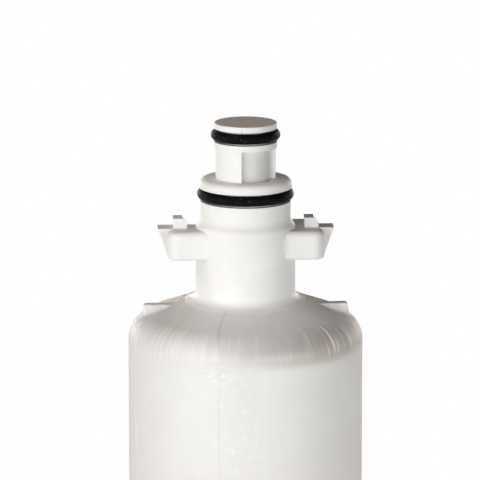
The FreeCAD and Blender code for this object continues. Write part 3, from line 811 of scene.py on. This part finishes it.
def dress(node, material):
    """Give a frame node one material on all its faces."""
    slots = NODES[node].data.materials
    slots.clear()
    slots.append(material)


dress("housing_head", moulded_white("moulded_white_head", HEAD_TONES, True))
dress("housing_sump", moulded_white("moulded_white_sump", SUMP_TONES, False))
cap_white = moulded_white("moulded_white_caps", CAP_TONES, False)
for cap in ("block_top_cap", "block_bottom_cap"):
    dress(cap, cap_white)
rubber = black_rubber()
for ring in ("tip_o_ring", "neck_o_ring", "stem_o_ring"):
    dress(ring, rubber)
dress("carbon_block", carbon())
dress("sediment_wrap", fleece())

film = film_sheet()
film.data.materials.append(clear_film())
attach(film, "root")
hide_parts("shrink_film")


# Studio


def floor_finish():
    """White floor that shows its contact shadow and bounces soft light on the part."""
    material, tree = new_tree("white_floor")
    contact = add(tree, "ShaderNodeAmbientOcclusion", {"Distance": CONTACT_REACH}, samples=CONTACT_SAMPLES)
    shade = ramp(tree, contact.outputs["AO"], 0.0, 1.0, CONTACT_SHADE, 1.0)
    glow = add(tree, "ShaderNodeEmission", {"Color": WHITE, "Strength": shade})
    matte = add(tree, "ShaderNodeBsdfDiffuse", {"Color": FLOOR_TONE})
    surface(tree, blend_shader(tree, seen_directly(tree), matte, glow))
    return material


def dark_card_finish():
    """Matt dark card with a faint weave."""
    material, tree = new_tree("dark_card")
    colour = blend_colour(tree, noise(tree, object_place(tree), CARD_WEAVE), *CARD_TONES)
    surface(tree, add(tree, "ShaderNodeBsdfDiffuse", {"Color": colour}))
    return material


def card(name, corners, material):
    """Flat stage panel through four corners."""
    mesh = bpy.data.meshes.new(name)
    mesh.from_pydata(corners, [], [tuple(range(len(corners)))])
    panel = bpy.data.objects.new(name, mesh)
    panel.data.materials.append(material)
    bpy.context.collection.objects.link(panel)
    return panel


def stage_cards():
    """White floor under the part, and two dark cards that only light and reflections meet."""
    reach = FLOOR_REACH
    floor = card("floor", [(-reach, -reach, 0), (reach, -reach, 0), (reach, reach, 0), (-reach, reach, 0)],
                 floor_finish())
    floor.location.z = -FLOOR_DROP
    dark = dark_card_finish()
    rear = card("rear_shade", [
        (-SHADE_REACH, SHADE_BACK, 0), (SHADE_REACH, SHADE_BACK, 0),
        (SHADE_REACH, SHADE_BACK, SHADE_HEIGHT), (-SHADE_REACH, SHADE_BACK, SHADE_HEIGHT),
    ], dark)
    rear.visible_camera = False
    front, back = FLAG_DEPTHS
    low, high = FLAG_LEVELS
    flag = card("head_flag", [
        (FLAG_SIDE, front, low), (FLAG_SIDE, back, low), (FLAG_SIDE, back, high), (FLAG_SIDE, front, high),
    ], dark)
    flag.visible_camera = False


def outward(bearing, elevation):
    """Direction away from the part at a bearing from the front and an elevation."""
    level = math.cos(elevation)
    return Vector((math.sin(bearing) * level, -math.cos(bearing) * level, math.sin(elevation)))


def stand_off(holder, aim, back, distance):
    """Put a lamp or a camera at a distance from its aim, looking at it."""
    holder.location = aim + back * distance
    holder.rotation_mode = "QUATERNION"
    holder.rotation_quaternion = (-back).to_track_quat("-Z", "Y")
    bpy.context.collection.objects.link(holder)


def soft_box(name, bearing, elevation, distance, width, height, power, colour):
    """Area lamp round the part that faces its upper half."""
    lamp = bpy.data.lights.new(name, "AREA")
    lamp.shape = "RECTANGLE"
    lamp.size = width
    lamp.size_y = height
    lamp.energy = power
    lamp.color = colour
    box = bpy.data.objects.new(name, lamp)
    box.visible_camera = False
    back = outward(math.radians(bearing), math.radians(elevation))
    stand_off(box, Vector((0, 0, LAMP_AIM_LEVEL)), back, distance)


def world_light():
    """White round the horizon where it is seen, dimmer where it lights, and a dim warm ceiling."""
    world = bpy.data.worlds.new("studio")
    world.use_nodes = True
    tree = world.node_tree
    tree.nodes.clear()
    direction = add(tree, "ShaderNodeTexCoord").outputs["Generated"]
    up = add(tree, "ShaderNodeSeparateXYZ", {0: direction}).outputs[2]
    horizon = blend_colour(tree, seen_directly(tree), HORIZON_LIGHT, WHITE)
    sky = blend_colour(tree, ramp(tree, up, *CEILING_LEVELS), horizon, CEILING_LIGHT)
    glow = add(tree, "ShaderNodeBackground", {"Color": sky, "Strength": 1.0})
    add(tree, "ShaderNodeOutputWorld", {"Surface": glow.outputs[0]})
    bpy.context.scene.world = world


def camera():
    """Camera that frames the part as the photograph does."""
    eye = bpy.data.cameras.new("camera")
    eye.sensor_width = SENSOR_WIDTH
    eye.lens = SENSOR_WIDTH * CAMERA_DISTANCE / FRAME_WIDTH
    eye.clip_start, eye.clip_end = CAMERA_CLIP
    holder = bpy.data.objects.new("camera", eye)
    across = Vector((math.cos(CAMERA_BEARING), math.sin(CAMERA_BEARING), 0))
    aim = across * CAMERA_OFFSET + Vector((0, 0, CAMERA_AIM_LEVEL))
    stand_off(holder, aim, outward(CAMERA_BEARING, CAMERA_ELEVATION), CAMERA_DISTANCE)
    bpy.context.scene.camera = holder


stage_cards()
for settings in LAMPS:
    soft_box(*settings)
world_light()
camera()
bpy.context.scene.view_settings.view_transform = "Standard"
